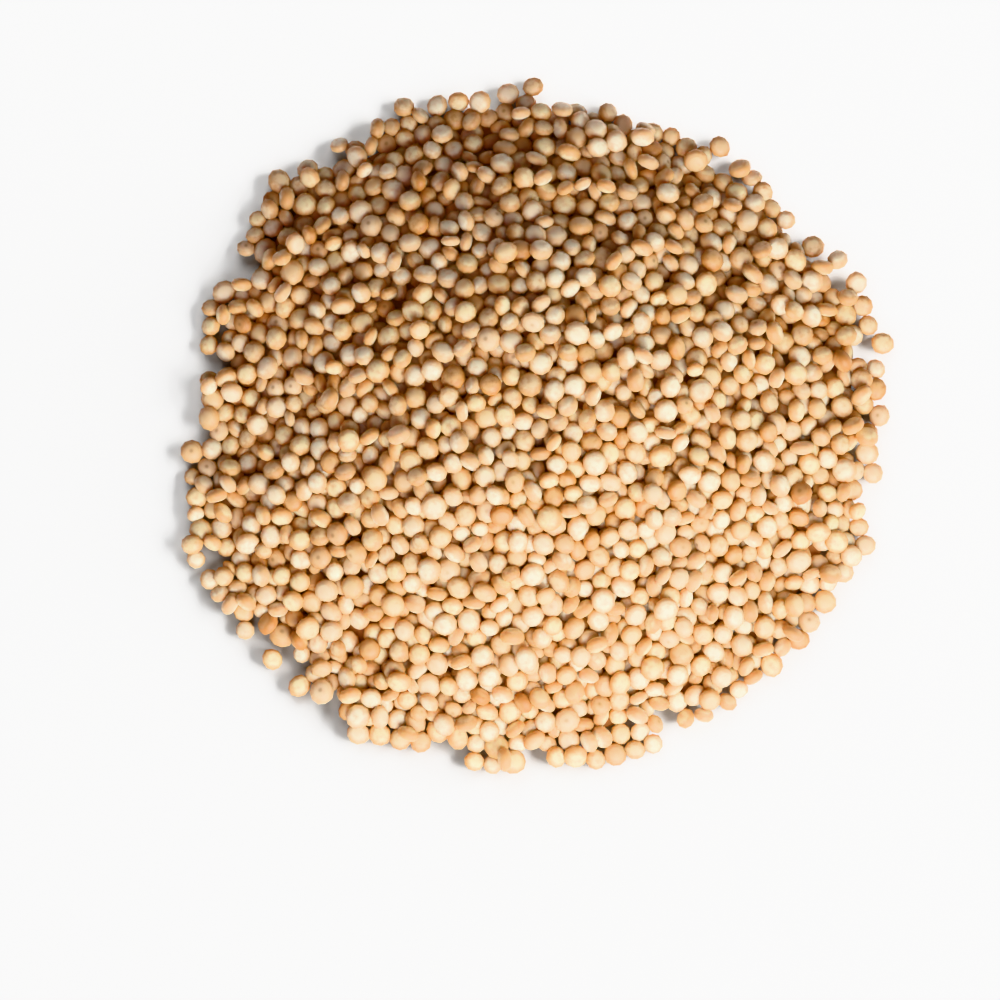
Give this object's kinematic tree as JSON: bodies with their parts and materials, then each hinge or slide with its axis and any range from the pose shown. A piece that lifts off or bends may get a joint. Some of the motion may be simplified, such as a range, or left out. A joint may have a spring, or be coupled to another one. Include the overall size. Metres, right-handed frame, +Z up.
{
  "type": "heap of dry quinoa",
  "caption": "Low round heap of loose dry quinoa grains with a bumpy domed top, an uneven rim of single grains and a flat underside that rests on a table.",
  "frame": {"origin": "on the surface that the heap lies on, under the middle of the heap's bounding box", "axes": "+Z up, square to the surface that the heap lies on; +X to the right and +Y towards the top of the picture"},
  "size_m": [0.0668, 0.0652, 0.0122],
  "materials": {
    "quinoa": null
  },
  "bodies": {
    "root": {"quinoa_heap": "quinoa"}
  },
  "joints": []
}
